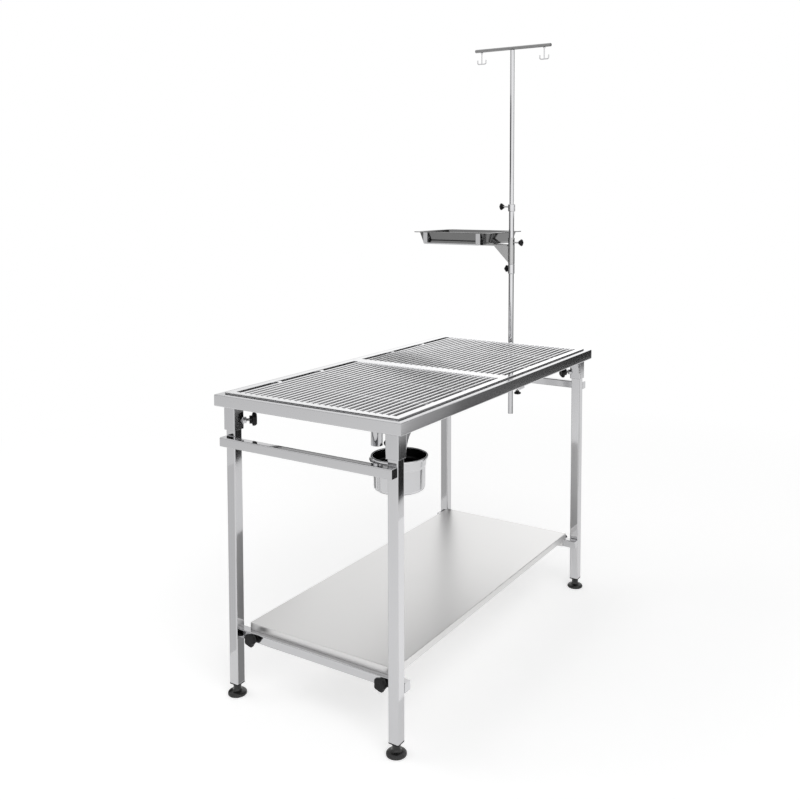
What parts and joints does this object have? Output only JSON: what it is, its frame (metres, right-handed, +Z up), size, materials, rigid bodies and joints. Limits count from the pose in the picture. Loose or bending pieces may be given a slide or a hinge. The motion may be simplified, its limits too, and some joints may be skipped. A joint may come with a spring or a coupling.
{
  "type": "veterinary exam table",
  "caption": "Stainless knock-down exam table: lift-out rod grates over a drain pan, drain pot, lower shelf, levelling feet, clamp-on telescopic pole with drip hooks and swing tray.",
  "frame": {"origin": "on the floor, under the middle of the whole assembly's box", "axes": "+Z up, +X along the table towards the pole end, +Y towards the side the tray reaches out to"},
  "size_m": [1.3628, 0.6654, 1.9],
  "materials": {
    "satin_steel": "satin stainless",
    "polished_steel": "polished stainless",
    "mill_steel": "mill-rolled stainless",
    "black_plastic": "fine-grained moulding",
    "black_rubber": "matt moulding"
  },
  "bodies": {
    "table": {"rim_right": "satin_steel", "rim_far": "satin_steel", "rim_left": "satin_steel", "rim_near": "satin_steel", "leg_socket_near_left": "satin_steel", "leg_socket_near_right": "satin_steel", "leg_socket_far_left": "satin_steel", "leg_socket_far_right": "satin_steel", "drain_spout": "polished_steel", "upper_rail_near": "polished_steel", "upper_rail_far": "polished_steel", "lower_rail_near": "polished_steel", "lower_rail_far": "polished_steel", "pot_hanger": "polished_steel", "drain_pan": "mill_steel", "pan_bearer_near": "mill_steel", "pan_bearer_middle": "mill_steel", "pan_bearer_far": "mill_steel", "shelf": "mill_steel", "leg_plug_near_left": "black_plastic", "leg_plug_near_right": "black_plastic", "leg_plug_far_left": "black_plastic", "leg_plug_far_right": "black_plastic", "leg_near_left": "polished_steel", "leg_near_right": "polished_steel", "leg_far_left": "polished_steel", "leg_far_right": "polished_steel"},
    "grate_near": {"grate_near": "polished_steel"},
    "grate_far": {"grate_far": "polished_steel"},
    "drain_pot": {"drain_pot": "polished_steel"},
    "leg_knob_near_left": {"leg_knob_near_left": "black_plastic"},
    "shelf_knob_near_left": {"shelf_knob_near_left": "black_plastic"},
    "foot_near_left": {"foot_near_left": "black_rubber"},
    "leg_knob_near_right": {"leg_knob_near_right": "black_plastic"},
    "shelf_knob_near_right": {"shelf_knob_near_right": "black_plastic"},
    "foot_near_right": {"foot_near_right": "black_rubber"},
    "leg_knob_far_left": {"leg_knob_far_left": "black_plastic"},
    "shelf_knob_far_left": {"shelf_knob_far_left": "black_plastic"},
    "foot_far_left": {"foot_far_left": "black_rubber"},
    "leg_knob_far_right": {"leg_knob_far_right": "black_plastic"},
    "shelf_knob_far_right": {"shelf_knob_far_right": "black_plastic"},
    "foot_far_right": {"foot_far_right": "black_rubber"},
    "pole_stand": {"pole_clamp": "satin_steel", "lower_pole": "polished_steel", "pole_collar": "satin_steel"},
    "pole_clamp_screw": {"pole_clamp_screw": "black_plastic"},
    "upper_pole": {"upper_pole": "polished_steel", "crossbar": "polished_steel", "drip_hook_left": "polished_steel", "drip_hook_right": "polished_steel"},
    "pole_collar_knob": {"pole_collar_knob": "black_plastic"},
    "stop_collar": {"stop_collar": "satin_steel"},
    "stop_collar_knob": {"stop_collar_knob": "black_plastic"},
    "tray_bracket": {"tray_bracket": "satin_steel", "tray_cradle": "polished_steel"},
    "tray_bracket_knob": {"tray_bracket_knob": "black_plastic"},
    "instrument_tray": {"instrument_tray": "polished_steel"}
  },
  "joints": [
    {"name": "grate_near_lift", "type": "slide", "parent": "table", "child": "grate_near", "axis": [0, 0, 1], "range_m": [0, 0.06]},
    {"name": "grate_far_lift", "type": "slide", "parent": "table", "child": "grate_far", "axis": [0, 0, 1], "range_m": [0, 0.06]},
    {"name": "drain_pot_pull", "type": "slide", "parent": "table", "child": "drain_pot", "axis": [0, -1, 0], "range_m": [0, 0.2]},
    {"name": "leg_knob_near_left_turn", "type": "hinge", "parent": "table", "child": "leg_knob_near_left", "pos_m": [-0.6411, 0.22925, 0.76], "axis": [0.7071, -0.7071, 0], "continuous": true},
    {"name": "shelf_knob_near_left_turn", "type": "hinge", "parent": "table", "child": "shelf_knob_near_left", "pos_m": [-0.6411, 0.18125, 0.162], "axis": [-1, 0, 0], "continuous": true},
    {"name": "foot_near_left_level", "type": "slide", "parent": "table", "child": "foot_near_left", "axis": [0, 0, -1], "range_m": [0, 0.02]},
    {"name": "leg_knob_near_right_turn", "type": "hinge", "parent": "table", "child": "leg_knob_near_right", "pos_m": [-0.6411, -0.29475, 0.76], "axis": [0.7071, 0.7071, 0], "continuous": true},
    {"name": "shelf_knob_near_right_turn", "type": "hinge", "parent": "table", "child": "shelf_knob_near_right", "pos_m": [-0.6411, -0.24675, 0.162], "axis": [-1, 0, 0], "continuous": true},
    {"name": "foot_near_right_level", "type": "slide", "parent": "table", "child": "foot_near_right", "axis": [0, 0, -1], "range_m": [0, 0.02]},
    {"name": "leg_knob_far_left_turn", "type": "hinge", "parent": "table", "child": "leg_knob_far_left", "pos_m": [0.4889, 0.22925, 0.76], "axis": [-0.7071, -0.7071, 0], "continuous": true},
    {"name": "shelf_knob_far_left_turn", "type": "hinge", "parent": "table", "child": "shelf_knob_far_left", "pos_m": [0.4889, 0.18125, 0.162], "axis": [1, 0, 0], "continuous": true},
    {"name": "foot_far_left_level", "type": "slide", "parent": "table", "child": "foot_far_left", "axis": [0, 0, -1], "range_m": [0, 0.02]},
    {"name": "leg_knob_far_right_turn", "type": "hinge", "parent": "table", "child": "leg_knob_far_right", "pos_m": [0.4889, -0.29475, 0.76], "axis": [-0.7071, 0.7071, 0], "continuous": true},
    {"name": "shelf_knob_far_right_turn", "type": "hinge", "parent": "table", "child": "shelf_knob_far_right", "pos_m": [0.4889, -0.24675, 0.162], "axis": [1, 0, 0], "continuous": true},
    {"name": "foot_far_right_level", "type": "slide", "parent": "table", "child": "foot_far_right", "axis": [0, 0, -1], "range_m": [0, 0.02]},
    {"name": "clamp_along_rail", "type": "slide", "parent": "table", "child": "pole_stand", "axis": [0, 1, 0], "range_m": [-0.2, 0.2]},
    {"name": "clamp_screw_turn", "type": "hinge", "parent": "pole_stand", "child": "pole_clamp_screw", "pos_m": [0.5167, -0.05375, 0.661], "axis": [0, 0, 1], "continuous": true},
    {"name": "pole_height", "type": "slide", "parent": "pole_stand", "child": "upper_pole", "axis": [0, 0, 1], "range_m": [-0.5, 0.08]},
    {"name": "pole_collar_knob_turn", "type": "hinge", "parent": "pole_stand", "child": "pole_collar_knob", "pos_m": [0.5489, -0.01025, 1.325], "axis": [0, 1, 0], "continuous": true},
    {"name": "tray_height", "type": "slide", "parent": "pole_stand", "child": "stop_collar", "axis": [0, 0, 1], "range_m": [-0.25, 0.05]},
    {"name": "stop_collar_knob_turn", "type": "hinge", "parent": "stop_collar", "child": "stop_collar_knob", "pos_m": [0.5489, -0.01025, 1.0985], "axis": [0.4067, 0.9135, 0], "continuous": true},
    {"name": "tray_swing", "type": "hinge", "parent": "stop_collar", "child": "tray_bracket", "pos_m": [0.5489, -0.01025, 1.12], "axis": [0, 0, 1], "continuous": true},
    {"name": "tray_bracket_knob_turn", "type": "hinge", "parent": "tray_bracket", "child": "tray_bracket_knob", "pos_m": [0.5489, -0.01025, 1.195], "axis": [0, -1, 0], "continuous": true},
    {"name": "tray_lift", "type": "slide", "parent": "tray_bracket", "child": "instrument_tray", "axis": [0, 0, 1], "range_m": [0, 0.05]}
  ]
}
